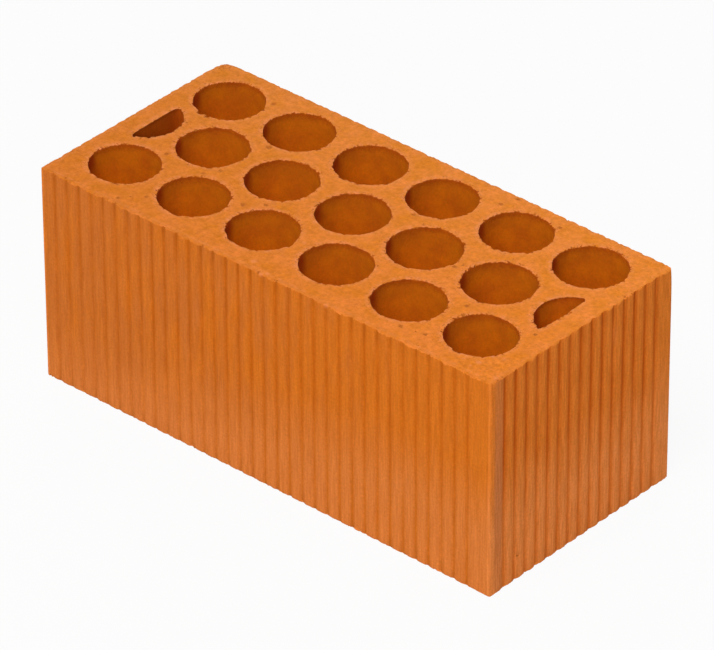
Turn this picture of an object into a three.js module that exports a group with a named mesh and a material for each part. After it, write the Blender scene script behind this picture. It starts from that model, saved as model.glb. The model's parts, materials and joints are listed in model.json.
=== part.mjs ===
// Perforated clay brick: one combed, cored section, extruded along Z and wire-cut to height.
// Millimetres, +Z up. The brick lies on its bed face with its length along X, its width
// along Y, and the origin at the middle of the underside.
import * as THREE from 'three';

// Overall size
const LENGTH = 238;
const WIDTH = 110;
const HEIGHT = 100;
const CORNER_RADIUS = 1;

// Comb: shallow upright waves on all four faces, drawn by the teeth of the die
const STRETCHER_COMB = {
  pitch: 6.62,
  firstGroove: 7.4,
  leastMargin: 11,
  mouth: 4.6,
  depth: 0.4,
};
const HEADER_COMB = {
  pitch: 6.53,
  firstGroove: 8.9,
  leastMargin: 9.3,
  mouth: 6.2,
  depth: 0.55,
};
const GROOVE_FLOOR = 0.4;
const STEPS_DOWN_A_GROOVE = 4;

// Cores: rows of round holes right through, each row staggered against the next
const HOLE_DIAMETER = 29.8;
const WEB_IN_ROW = 8.4;
const WEB_BETWEEN_ROWS = 7.7;
const LEAST_WALL = 5;
const CORE_SHIFT_X = -1.2;
const CORE_SHIFT_Y = 1.9;

// Part holes: the D-shaped cores that end a staggered row, flat towards the end face
const PART_HOLE_WALL = 10;
const PART_HOLE_WEB = 6.4;
const PART_HOLE_CORNER = 2;

// Facets on a full turn of every round form
const FACETS_PER_TURN = 48;

const CLAY = new THREE.MeshStandardMaterial({ color: 0xd0702c, roughness: 0.93, metalness: 0 });

const HOLE_RADIUS = HOLE_DIAMETER / 2;
const HOLE_PITCH = HOLE_DIAMETER + WEB_IN_ROW;
const ROW_PITCH = Math.sqrt((HOLE_DIAMETER + WEB_BETWEEN_ROWS) ** 2 - (HOLE_PITCH / 2) ** 2);

// Copies of a pattern that fit in a span, first and last copy on its ends
function copiesIn(span, pitch) {
  return Math.floor(span / pitch) + 1;
}

// Points of an arc about (x, y), counter-clockwise where the end angle is the larger
function arc(x, y, radius, startAngle, endAngle) {
  const turn = Math.abs(endAngle - startAngle) / (2 * Math.PI);
  const facets = Math.max(2, Math.round(FACETS_PER_TURN * turn));
  const clockwise = endAngle < startAngle;
  return new THREE.EllipseCurve(x, y, radius, radius, startAngle, endAngle, clockwise).getPoints(facets);
}

// Points across one groove, whose flanks steepen from the rounded lands to the narrow floor
function groove(middle, { mouth, depth }) {
  const flank = [];
  for (let step = 0; step <= STEPS_DOWN_A_GROOVE; step += 1) {
    const share = step / STEPS_DOWN_A_GROOVE;
    const width = THREE.MathUtils.lerp(mouth, GROOVE_FLOOR, share);
    flank.push(new THREE.Vector2(width / 2, depth * share ** 2));
  }
  const near = flank.map(({ x, y }) => new THREE.Vector2(middle - x, y));
  const far = flank.map(({ x, y }) => new THREE.Vector2(middle + x, y));
  return [...near, ...far.reverse()];
}

// One side of the outline, run along +X with the clay above it and the corner arc at its far end
function combedSide(length, comb) {
  const points = [];
  const grooves = copiesIn(length - comb.firstGroove - comb.leastMargin, comb.pitch);
  for (let i = 0; i < grooves; i += 1) {
    points.push(...groove(comb.firstGroove + i * comb.pitch, comb));
  }
  points.push(...arc(length - CORNER_RADIUS, CORNER_RADIUS, CORNER_RADIUS, -Math.PI / 2, 0));
  return points;
}

// The four combed sides, laid head to tail round the brick
function outline() {
  const stretcher = { length: LENGTH, out: WIDTH / 2, comb: STRETCHER_COMB };
  const header = { length: WIDTH, out: LENGTH / 2, comb: HEADER_COMB };
  const centre = new THREE.Vector2();
  return [stretcher, header, stretcher, header].flatMap(
    ({ length, out, comb }, turn) => combedSide(length, comb).map((point) => point
      .sub(new THREE.Vector2(length / 2, out))
      .rotateAround(centre, turn * Math.PI / 2)),
  );
}

function roundHole(x, y) {
  const points = arc(x, y, HOLE_RADIUS, 0, 2 * Math.PI);
  points.pop();
  return new THREE.Path(points);
}

// A round hole cut off flat before the end face, its two corners rounded; rowReach is how far the
// last round hole lies from the middle of the cores, and side is +1 or -1 along X
function partHole(rowReach, y, side) {
  const centre = rowReach + HOLE_DIAMETER + PART_HOLE_WEB;
  const flat = LENGTH / 2 - PART_HOLE_WALL - centre;
  const cornerX = flat - PART_HOLE_CORNER;
  const cornerY = Math.sqrt((HOLE_RADIUS - PART_HOLE_CORNER) ** 2 - cornerX ** 2);
  const meet = Math.atan2(cornerY, cornerX);
  const points = [
    ...arc(cornerX, cornerY, PART_HOLE_CORNER, 0, meet),
    ...arc(0, 0, HOLE_RADIUS, meet, 2 * Math.PI - meet),
    ...arc(cornerX, -cornerY, PART_HOLE_CORNER, -meet, 0),
  ];
  return new THREE.Path(points.map(
    (p) => new THREE.Vector2(CORE_SHIFT_X + side * (centre + p.x), y + p.y),
  ));
}

// Rows of holes centred on the shifted core plate; every other row is staggered by half a pitch
function cores() {
  const rows = copiesIn(WIDTH - 2 * (LEAST_WALL + Math.abs(CORE_SHIFT_Y)) - HOLE_DIAMETER, ROW_PITCH);
  const fullRow = copiesIn(LENGTH - 2 * (LEAST_WALL + Math.abs(CORE_SHIFT_X)) - HOLE_DIAMETER, HOLE_PITCH);
  const holes = [];
  for (let row = 0; row < rows; row += 1) {
    const y = CORE_SHIFT_Y + (row - (rows - 1) / 2) * ROW_PITCH;
    const staggered = row % 2 === 1;
    const count = staggered ? fullRow - 1 : fullRow;
    const reach = ((count - 1) / 2) * HOLE_PITCH;
    for (let i = 0; i < count; i += 1) {
      holes.push(roundHole(CORE_SHIFT_X - reach + i * HOLE_PITCH, y));
    }
    if (staggered) {
      holes.push(partHole(reach, y, -1), partHole(reach, y, 1));
    }
  }
  return holes;
}

function brick() {
  const section = new THREE.Shape(outline());
  section.holes = cores();
  const geometry = new THREE.ExtrudeGeometry(section, { depth: HEIGHT, bevelEnabled: false });
  const mesh = new THREE.Mesh(geometry, CLAY);
  mesh.name = 'brick';
  return mesh;
}

const part = new THREE.Group();
part.add(brick());

export default part;
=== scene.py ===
"""Perforated clay brick: an extruded, combed and cored section, wire-cut to height and fired.

Run as a script in Blender 4.5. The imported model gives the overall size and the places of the
holes. Geometry Nodes make the brick from those sizes, and nodes give it its fired clay finish.
"""

import json
import math

import bmesh
import bpy
from mathutils import Euler, Matrix, Vector


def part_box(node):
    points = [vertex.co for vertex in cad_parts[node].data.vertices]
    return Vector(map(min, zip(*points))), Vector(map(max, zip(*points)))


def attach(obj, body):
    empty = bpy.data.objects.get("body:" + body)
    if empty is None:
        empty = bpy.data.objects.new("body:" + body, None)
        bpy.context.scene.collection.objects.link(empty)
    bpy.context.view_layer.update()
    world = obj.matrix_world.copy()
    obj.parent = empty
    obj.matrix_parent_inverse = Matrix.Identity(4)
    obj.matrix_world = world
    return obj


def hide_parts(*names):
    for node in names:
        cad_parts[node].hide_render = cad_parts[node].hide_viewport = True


bl_info = {
    "name": "Perforated clay brick",
    "version": (1, 0, 0),
    "blender": (4, 5, 0),
    "location": "3D View > Sidebar > Brick",
    "description": "Builds a combed, perforated clay brick and a plain studio stage",
    "category": "Add Mesh",
}

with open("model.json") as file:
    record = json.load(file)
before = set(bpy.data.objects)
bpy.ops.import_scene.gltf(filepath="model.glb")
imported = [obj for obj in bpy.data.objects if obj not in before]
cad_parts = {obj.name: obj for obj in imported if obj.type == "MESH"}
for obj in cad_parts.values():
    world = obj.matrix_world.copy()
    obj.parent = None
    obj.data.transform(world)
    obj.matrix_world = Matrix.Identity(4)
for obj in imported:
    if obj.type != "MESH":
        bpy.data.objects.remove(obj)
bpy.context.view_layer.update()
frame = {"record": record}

MM = 0.001
NODE = "brick"
BODY = "root"
IMAGE_WIDTH = 714
FOCAL_LENGTH_PIXELS = 6894.3
SENSOR_WIDTH = 36.0
WHITE = (1, 1, 1, 1)

LOW, HIGH = (Vector(corner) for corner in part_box(NODE))
LENGTH, WIDTH, HEIGHT = HIGH - LOW


def stated_hole_rows():
    """Centres of the stated holes in rows from the front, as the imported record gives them."""
    rows = {}
    for opening in frame["record"]["physics"]["openings"]:
        low, high = (Vector(corner) for corner in opening["box_m"])
        middle = (low + high) / 2
        rows.setdefault(round(middle.y, 5), []).append(middle.xy)
    return [sorted(rows[y], key=lambda centre: centre.x) for y in sorted(rows)]


FRONT_ROW, BACK_ROW = stated_hole_rows()
STAGGERED_ROW = [(a + b + c + d) / 4 for a, b, c, d
                 in zip(FRONT_ROW, FRONT_ROW[1:], BACK_ROW, BACK_ROW[1:])]
CORE_MIDDLE = STAGGERED_ROW[len(STAGGERED_ROW) // 2]
HOLE_PITCH = FRONT_ROW[1].x - FRONT_ROW[0].x

# How far each hole wandered along X and Y as the clay dried, and how much its radius grew, in
# mm: front, staggered and back row.
HOLE_DRIFT = [
    [(1.2, 0, 0), (0.5, 0.1, 0.1), (-0.3, 0, 0.1), (-0.3, 0.5, 0.2), (0.2, -0.4, 0.3),
     (-0.9, -0.7, 0)],
    [(0.4, 0.2, 0), (-0.1, 0, 0.2), (-0.4, -0.1, 0.2), (-0.7, -0.4, 0.4), (-0.5, -0.3, 0.2)],
    [(0.4, -1, 0), (-0.3, -0.5, 0), (-0.1, -0.2, 0.1), (-0.3, -0.3, 0), (0.1, 0, 0.2),
     (0.1, -0.1, 0.4)],
]

# How much longer along X and across Y the holes of each row came out.
ROW_STRETCH = [(1.01, 0.975), (1.01, 1.01), (1.01, 0.975)]

# Pits and crumbs at places of their own: x, y, z, radius and depth in mm, and tone from
# -1, a dark pit, to 1, a pale crumb.
MARKS = [
    (-99, 19, 100, 2, 2.2, -0.5), (-95, 18, 100, 1.1, 1.2, -0.3), (-88, -14, 100, 0.8, 0.5, -1),
    (-81, 43, 100, 0.8, 0.4, -1), (-80, -51, 100, 0.7, 0.35, -1), (-72, -43, 100, 0.7, 0.4, -1),
    (-67, -15, 100, 0.7, 0.35, -1), (-63, -9, 100, 0.7, 0.35, -1), (-60, 17, 100, 1.1, 0.45, -1),
    (-39, -22, 100, 0.8, 0.5, -1), (-32, -16, 100, 0.75, 0.5, -1), (17, 17, 100, 0.7, 0.35, -1),
    (38, 46, 100, 0.7, 0.4, -1), (41, 53, 100, 0.7, 0.35, -1), (54, -1, 100, 0.75, 0.4, -1),
    (66, -47, 100, 0.8, 0.45, -1), (67, 48, 100, 0.7, 0.35, -1), (76, -19, 100, 0.75, 0.45, -1),
    (77, -45, 100, 0.7, 0.35, -1), (79, -25, 100, 0.8, 0.45, -1), (109, -17, 100, 0.7, 0.35, -1),
    (119, -38, 11, 0.8, 0.4, -1), (-99, -5, 100, 1.2, 0, 1), (-10, -36, 100, 1.4, 0, 0.6),
    (-8, -50, 100, 1.4, 0, 0.8), (-2, -27, 100, 1, 0, 0.8), (0, -55, 100, 1.2, 0, 0.8),
    (2, -53, 100, 1, 0, 0.8), (34, -55, 100, 1.3, 0, 0.8), (99, -48, 100, 0.8, 0, 0.6),
    (104, -50, 100, 0.9, 0, 0.6), (105, -46, 100, 1.3, 0, 1), (106, -39, 100, 1.2, 0, 1),
    (111, -38, 100, 1.1, 0, 0.5), (117, -50, 100, 1.2, 0, 0.8), (-98, -55, 63, 0.8, 0, 0.9),
    (-34, -55, 70, 0.8, 0, 0.9), (118, -55, 42, 1, 0, 0.8), (118, -55, 36, 1, 0, 0.8),
    (119, -11, 6, 0.8, 0, 1), (119, -19, 7, 0.9, 0, 1), (119, 20, 88, 2, 0, 0.5),
]


def round_holes(radius):
    """Centre, with its drift, and stretch of each round hole."""
    rows = zip((FRONT_ROW, STAGGERED_ROW, BACK_ROW), HOLE_DRIFT, ROW_STRETCH)
    return [(centre + Vector((x, y)) * MM, [share + growth * MM / radius for share in stretch])
            for row, drifts, stretch in rows for centre, (x, y, growth) in zip(row, drifts)]


def linear(code):
    """A linear colour from an sRGB hex code."""
    values = [int(code[k:k + 2], 16) / 255 for k in (1, 3, 5)]
    return [v / 12.92 if v <= 0.04045 else ((v + 0.055) / 1.055) ** 2.4 for v in values]


# --- settings --------------------------------------------------------------------------------

def length_setting(name, description, default):
    """A setting that is a length."""
    return bpy.props.FloatProperty(
        name=name, description=description, default=default, unit="LENGTH")


def share_setting(name, description, default):
    """A setting that is a share."""
    return bpy.props.FloatProperty(
        name=name, description=description, default=default, subtype="FACTOR")


def colour_setting(name, description, code):
    """A setting that is a colour, with its default as an sRGB hex code."""
    return bpy.props.FloatVectorProperty(
        name=name, description=description, default=linear(code), subtype="COLOR", min=0, max=1)


def angle_setting(name, description, degrees):
    """A setting that is an angle, with its default in degrees."""
    return bpy.props.FloatProperty(
        name=name, description=description, default=math.radians(degrees), subtype="ANGLE")


class BrickSizes(bpy.types.PropertyGroup):
    """Sizes of the brick, in metres."""

    length: length_setting("Length", "Overall length", LENGTH)
    width: length_setting("Width", "Overall width", WIDTH)
    height: length_setting("Height", "Height along the holes, between the cut faces", HEIGHT)
    corner_radius: length_setting(
        "Corner radius", "Rounding of the four upright corners", 1 * MM)
    stretcher_depth: length_setting(
        "Stretcher depth", "Depth of the comb's grooves on the long faces", 0.4 * MM)
    stretcher_mouth: length_setting(
        "Stretcher mouth", "Width of those grooves at the face", 4.6 * MM)
    stretcher_floor: length_setting(
        "Stretcher floor", "Width of those grooves at their floor", 0.4 * MM)
    stretcher_lean: length_setting(
        "Stretcher lean", "How far those grooves are scraped off their middle", -0.2 * MM)
    stretcher_pitch: length_setting(
        "Stretcher pitch", "Spacing of the grooves on the long faces", 6.62 * MM)
    stretcher_first: length_setting(
        "Stretcher first groove", "Middle of a long face's first groove", 7.4 * MM)
    stretcher_grooves: bpy.props.IntProperty(
        name="Stretcher grooves", description="Number of grooves on a long face", default=34)
    header_depth: length_setting(
        "Header depth", "Depth of the comb's grooves on the end faces", 0.55 * MM)
    far_header_depth: length_setting(
        "Far header depth", "The same on the end face that wore smoother", 0.25 * MM)
    header_mouth: length_setting("Header mouth", "Width of those grooves at the face", 6.2 * MM)
    header_floor: length_setting(
        "Header floor", "Width of those grooves at their floor", 0.4 * MM)
    header_lean: length_setting(
        "Header lean", "How far those grooves are scraped off their middle", 0.6 * MM)
    header_pitch: length_setting(
        "Header pitch", "Spacing of the grooves on the end faces", 6.53 * MM)
    header_first: length_setting(
        "Header first groove", "Middle of an end face's first groove", 8.9 * MM)
    header_grooves: bpy.props.IntProperty(
        name="Header grooves", description="Number of grooves on an end face", default=15)
    hole_radius: length_setting("Hole radius", "Radius of the round holes", 14.9 * MM)
    part_hole_x: length_setting(
        "Part hole x", "From between the part holes to a part hole's centre",
        2 * HOLE_PITCH + 35.7 * MM)
    part_hole_wall: length_setting(
        "Part hole wall", "Wall left between a part hole and the end face", 10.15 * MM)
    part_hole_corner: length_setting(
        "Part hole corner", "Softness of a part hole's two corners", 9 * MM)
    part_hole_shift: bpy.props.FloatVectorProperty(
        name="Part hole shift", description="How far the part holes sit off the brick's middle",
        default=(CORE_MIDDLE.x + 1 * MM, CORE_MIDDLE.y - 0.8 * MM, 0), subtype="TRANSLATION",
        unit="LENGTH")
    outer_arris: length_setting(
        "Outer arris", "Rounding where the sides meet the cut faces", 0.35 * MM)
    hole_arris: length_setting(
        "Hole arris", "Rounding where the holes meet the cut faces", 0.25 * MM)
    out_of_round: share_setting(
        "Out of round", "How far a hole's two widths stray, as a share", 0.006)
    grain: length_setting("Grain", "Depth of the torn grain on the cut faces", 0.14 * MM)
    raggedness: length_setting(
        "Raggedness", "Depth of the crumbled spots along the arrises", 0.6 * MM)
    chip_size: length_setting(
        "Chip size", "Radius of the largest chips along the rims and arrises", 0.8 * MM)
    chip_share: share_setting(
        "Chip share", "Share of the places along an edge that have a chip", 0.005)
    chip_roughness: share_setting("Chip roughness", "How far a chip is from a plain ball", 0.5)
    pore_size: length_setting(
        "Pore size", "Radius of the largest pores in the cut faces", 0.7 * MM)
    pore_share: share_setting(
        "Pore share", "Share of the places on a cut face that have a pore", 0.0015)
    waviness: length_setting("Waviness", "How far the walls of the holes wander", 0.9 * MM)
    drag_relief: length_setting(
        "Drag relief", "Depth of the die's drag lines on the walls", 0.09 * MM)
    cell: length_setting("Cell", "Size of a mesh cell on the cut faces", 1.0 * MM)
    seed: bpy.props.IntProperty(
        name="Seed", description="Seed of the holes' small differences", default=3)


class BrickColours(bpy.types.PropertyGroup):
    """Colours of the fired clay."""

    skin: colour_setting("Skin", "Clay drawn smooth by the die", "#d2711b")
    skin_pink: colour_setting("Pink skin", "Rubbed patches of the skin", "#ca6f29")
    # Below a slanting line the sides are paler.
    skin_pale: colour_setting("Pale skin", "Skin below the fire line", "#d77d3a")
    # The groove tints are partly the grooves' own deeper orange and partly painted shade.
    groove: colour_setting(
        "Groove", "How the grooves of the long faces tint the skin", "#efde95")
    end_land: colour_setting("End land", "Dusty lands of the end faces", "#dc7a28")
    end_groove: colour_setting(
        "End groove", "How the grooves of the end faces tint the skin", "#e7bc45")
    end_groove_pale: colour_setting(
        "Pale end groove", "The same below the fire line", "#f6d89b")
    end_pale: colour_setting("Pale end land", "The same below the fire line", "#e28640")
    smear: colour_setting("Smear", "Grey smear beside the front corner", "#c8743c")
    core: colour_setting("Core", "Walls of the holes", "#cf6c08")
    core_red: colour_setting("Red core", "Redder patches of those walls", "#c3610a")
    # A deep red painted shadow, under the rims and on the side of each hole away from the light.
    burr: colour_setting("Painted shading", "Walls just under the burr the wire left", "#a11c03")
    bed: colour_setting("Bed", "Clay torn open by the cutting wire", "#de7f22")
    bed_pink: colour_setting("Pink bed", "Pinker blotches of the cut faces", "#e88636")
    # The pit colour is darker than the bed, partly the clay's own colour and partly painted shade
    # in those hollows.
    pit: colour_setting("Pit", "Inside of pits and chips", "#c4702a")
    crumb: colour_setting("Crumb", "Fresh crumbs and crumbled rims", "#f0965c")


class StageSettings(bpy.types.PropertyGroup):
    """Camera and light."""

    aim: bpy.props.FloatVectorProperty(
        name="Aim", description="Point the camera looks at",
        default=(-13.786 * MM, 17.633 * MM, 33.849 * MM), subtype="TRANSLATION", unit="LENGTH")
    distance: length_setting("Distance", "From the camera to its aim", 2.7905)
    azimuth: angle_setting(
        "Azimuth", "Camera's turn from the front towards the right", 41.522)
    elevation: angle_setting(
        "Elevation", "Camera's height above the floor, as an angle", 33.426)
    roll: angle_setting("Roll", "Camera's turn about its own axis", -0.236)
    lens: bpy.props.FloatProperty(
        name="Lens", description="Focal length in millimetres",
        default=FOCAL_LENGTH_PIXELS * SENSOR_WIDTH / IMAGE_WIDTH)
    key: bpy.props.FloatProperty(
        name="Key", description="Radiance that the key lamp alone gives a white face square to it",
        default=0.6)
    fill: bpy.props.FloatProperty(
        name="Fill", description="The same for the fill lamp", default=0.34)
    back: bpy.props.FloatProperty(
        name="Back", description="The same for the lamp behind the brick", default=0.4)
    sky: bpy.props.FloatProperty(
        name="Sky", description="Strength of the white surroundings", default=0.15)


# --- nodes -----------------------------------------------------------------------------------

MATH = "ShaderNodeMath"
VECTOR_MATH = "ShaderNodeVectorMath"
COMBINE = "ShaderNodeCombineXYZ"
SEPARATE = "ShaderNodeSeparateXYZ"
MAP_RANGE = "ShaderNodeMapRange"
NOISE = "ShaderNodeTexNoise"
MIX = "ShaderNodeMix"
SET_POSITION = "GeometryNodeSetPosition"
TRANSFORM = "GeometryNodeTransform"
JOIN = "GeometryNodeJoinGeometry"
GROUP = "GeometryNodeGroup"
BOOLEAN = "GeometryNodeMeshBoolean"
STORE = "GeometryNodeStoreNamedAttribute"
NAMED = "GeometryNodeInputNamedAttribute"
PROXIMITY = "GeometryNodeProximity"
SAMPLE_SURFACE = "GeometryNodeSampleNearestSurface"
SAMPLE_INDEX = "GeometryNodeSampleIndex"
RANDOM = "FunctionNodeRandomValue"
INSTANCES = "GeometryNodeInstanceOnPoints"
REALIZE = "GeometryNodeRealizeInstances"
MERGE = "GeometryNodeMergeByDistance"


def add(tree, kind, *inputs, out=0, named=None, **settings):
    """Add a node with its settings and links, and return one of its output sockets.

    Inputs go to the open sockets in order, and named ones by name. A socket is linked, a list
    of sockets fills a multi-input, None leaves the default, and anything else is a constant.
    """
    made = tree.nodes.new(kind)
    for name, value in settings.items():
        setattr(made, name, value)
    sockets = [socket for socket in made.inputs if socket.enabled]
    pairs = list(zip(sockets, inputs))
    for name, value in (named or {}).items():
        pairs.append((next(socket for socket in sockets if socket.name == name), value))
    for socket, value in pairs:
        for one in value if isinstance(value, list) else [value]:
            if isinstance(one, bpy.types.NodeSocket):
                tree.links.new(one, socket)
            elif one is not None:
                socket.default_value = one
    return [socket for socket in made.outputs if socket.enabled][out]


def new_tree(name, inputs):
    """A geometry node group, and its input sockets by name."""
    tree = bpy.data.node_groups.new(name, "GeometryNodeTree")
    for label, kind in inputs:
        tree.interface.new_socket(label, in_out="INPUT", socket_type="NodeSocket" + kind)
    tree.interface.new_socket("Geometry", in_out="OUTPUT", socket_type="NodeSocketGeometry")
    entry = tree.nodes.new("NodeGroupInput")
    return tree, {socket.name: socket for socket in entry.outputs if socket.name}


def close_tree(tree, geometry):
    """Send the geometry to the group's output."""
    tree.links.new(geometry, tree.nodes.new("NodeGroupOutput").inputs[0])
    return tree


def emptied_tree(holder):
    """The node tree of a new material or world, with nothing in it."""
    holder.use_nodes = True
    holder.node_tree.nodes.clear()
    return holder.node_tree


def close_shader(tree, end, surface):
    """Send the surface to the output of a material or world."""
    tree.links.new(surface, tree.nodes.new(end).inputs["Surface"])


# --- small groups of nodes -------------------------------------------------------------------

# A ramp, here and below, holds two values of what it reads, and then what those two become.


def drawn_out(tree, place, share):
    """A place with its height cut to a share, so that a noise there runs along the die."""
    return add(tree, VECTOR_MATH, place, (1, 1, share), operation="MULTIPLY")


def patches(tree, place, size, ramp, detail=2, roughness=0.6):
    """Soft patches of about this size, by the ramp from one value to another."""
    return add(tree, MAP_RANGE, add(tree, NOISE, place, 1 / size, detail, roughness), *ramp)


def swing(tree, noise, amount, value, middle=0.5):
    """A value that a noise moves up and down by an amount."""
    about = add(tree, MATH, noise, middle, operation="SUBTRACT")
    return add(tree, MATH, about, amount, value, operation="MULTIPLY_ADD")


def tinted(tree, colour, share, low, high):
    """A colour times a tint, which goes from low to high with the share."""
    tint = add(tree, MIX, share, low, high, data_type="RGBA")
    return add(tree, VECTOR_MATH, colour, tint, operation="MULTIPLY")


def fading(tree, distance, reach):
    """From 1 at no distance down towards 0, through a third or so at the reach."""
    return add(tree, MATH, add(tree, MATH, distance, -1 / reach, operation="MULTIPLY"),
               operation="EXPONENT")


def from_nearer_cut(tree, z, height):
    """How far a height lies from the nearer of the two cut faces."""
    return add(tree, MATH, z, add(tree, MATH, height, z, operation="SUBTRACT"),
               operation="MINIMUM")


# --- the shape of the brick ------------------------------------------------------------------

STATIONS_PER_GROOVE = 12
STATION_SPREAD = 0.75           # share of even spacing; the rest crowds towards the groove
STATION_CROWDING = 5            # by this power
MARGIN_STATIONS = 8
CORNER_STATIONS = 7
OUTER_LEVELS = 22
HOLE_LEVELS = 16
HOLE_FACETS = 88
PART_HOLE_FACETS = 120
LEVEL_CROWDING = 2.8            # power that crowds the levels towards the cut faces
OVERRUN = 5 * MM                # how far the cutters run past what they cut
CUT_CLEARANCE = 0.02 * MM
WELD = 0.002 * MM
SHADED_SIDE = (-0.84, -0.54, 0)   # the side of each hole that faces away from the light, where painted shade goes
ON_OUTSIDE = (1.1 * MM, 1.3 * MM, 1, 0)     # ramp from the sides to the walls of the holes
ON_CUT = (0.05 * MM, 0.5 * MM, 1, 0)        # and from the cut faces to all those walls
AT_FACE = 0.1 * MM              # a point nearer than this lies on a cut face
AT_WALL = 0.6 * MM              # and one nearer than this lies on a rim or an arris
CHIP_SUBDIVISIONS = 2
LUMPS_ROUND_A_CHIP = 1.3
LUMPS = (0.3, 0.7, 0.6, 1.4)
SMALLEST_CHIP = 0.6
CHIP_RARITY = 3                 # the higher, the fewer large chips among the small ones
CHIP_DEPTH = 0.7
PORE_DEPTH = 0.4
MARK_EDGE = (0.3, 1.2, 1, 0)    # by the distance from a mark's centre, in its sizes
CRUMBLE_SIZE = 2.2 * MM
CRUMBLE_REACH = 0.8 * MM
CRUMBLES = (0.48, 0.7, 0, 1)
CRUMBLE_AT_SIDES = (0, 1 * MM, 0.4, 1)      # the arrises crumble less than the rims
# Corners as shares of the overall size, and how far each was knocked in.
KNOCKED_CORNERS = (((-0.5, 0.5, 1), 1.3 * MM), ((0.5, 0.5, 1), 0.35 * MM))
KNOCK_REACH = 4 * MM
KNOCK_DROP = 0.3                # how far it was knocked down, as a share of that
GRAIN_SIZE = 1.6 * MM
GRAIN = (0.4, 0.75)
SWELL_SIZE = 14 * MM
SWELL_REACH = 3 * MM
SWELL_STRETCH = 0.4
DRAG_SPACING = 1.5 * MM
DRAG_STRETCH = 0.04

COMB_INPUTS = [("pitch", "Float"), ("first groove", "Float"), ("grooves", "Int"),
               ("depth", "Float"), ("mouth", "Float"), ("floor", "Float"), ("lean", "Float")]


def comb_side_tree():
    """One side of the section as a chain of edges along +X, grooves towards +Y, corner last."""
    tree, i = new_tree("Comb side", [("Length", "Float"), ("Corner", "Float"), *COMB_INPUTS])
    count = add(tree, MATH, i["grooves"], STATIONS_PER_GROOVE, 1, operation="MULTIPLY_ADD")
    teeth = add(tree, "GeometryNodeMeshLine", count)
    station = add(tree, MATH, add(tree, "GeometryNodeInputIndex"), STATIONS_PER_GROOVE,
                  operation="DIVIDE")
    within = add(tree, MATH, add(tree, MATH, station, operation="FRACT"), 2, -1,
                 operation="MULTIPLY_ADD")
    crowded = add(tree, MATH, within, STATION_CROWDING, operation="POWER")
    crowded = add(tree, MATH, crowded, 1 - STATION_SPREAD, operation="MULTIPLY")
    eased = add(tree, MATH, within, STATION_SPREAD, crowded, operation="MULTIPLY_ADD")
    half_pitch = add(tree, MATH, i["pitch"], 0.5, operation="MULTIPLY")
    offset = add(tree, MATH, eased, half_pitch, operation="MULTIPLY")
    groove = add(tree, MATH, station, operation="FLOOR")
    middle = add(tree, MATH, groove, i["pitch"], i["first groove"], operation="MULTIPLY_ADD")
    half_floor = add(tree, MATH, i["floor"], 0.5, operation="MULTIPLY")
    half_mouth = add(tree, MATH, i["mouth"], 0.5, operation="MULTIPLY")
    leant = add(tree, MATH, offset, i["lean"], operation="ADD")
    # the groove's tint, partly painted shade, leans off its middle onto one flank by the lean
    sunk, tinted_and_shaded = (
        add(tree, MATH, add(tree, MAP_RANGE, add(tree, MATH, off, operation="ABSOLUTE"),
                            half_floor, half_mouth, 1, 0), 2, operation="POWER")
        for off in (offset, leant))
    place = add(tree, COMBINE, add(tree, MATH, middle, offset, operation="ADD"),
                add(tree, MATH, sunk, i["depth"], operation="MULTIPLY"))
    teeth = add(tree, SET_POSITION, add(tree, STORE, teeth, None, "groove", tinted_and_shaded), None, place)

    first_x = add(tree, MATH, i["first groove"], half_pitch, operation="SUBTRACT")
    last_x = add(tree, MATH, i["grooves"], i["pitch"], first_x, operation="MULTIPLY_ADD")
    corner_x = add(tree, MATH, i["Length"], i["Corner"], operation="SUBTRACT")
    near_margin = add(tree, "GeometryNodeMeshLine", MARGIN_STATIONS,
                      add(tree, COMBINE, i["Corner"]), add(tree, COMBINE, first_x),
                      mode="END_POINTS")
    far_margin = add(tree, "GeometryNodeMeshLine", MARGIN_STATIONS,
                     add(tree, COMBINE, last_x), add(tree, COMBINE, corner_x),
                     mode="END_POINTS")
    arc = add(tree, "GeometryNodeCurveArc", CORNER_STATIONS, i["Corner"], -math.pi / 2,
              math.pi / 2, mode="RADIUS")
    arc = add(tree, TRANSFORM, arc, add(tree, COMBINE, corner_x, i["Corner"]))
    corner = add(tree, "GeometryNodeCurveToMesh", arc)
    return close_tree(tree, add(tree, JOIN, [teeth, near_margin, far_margin, corner]))


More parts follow.
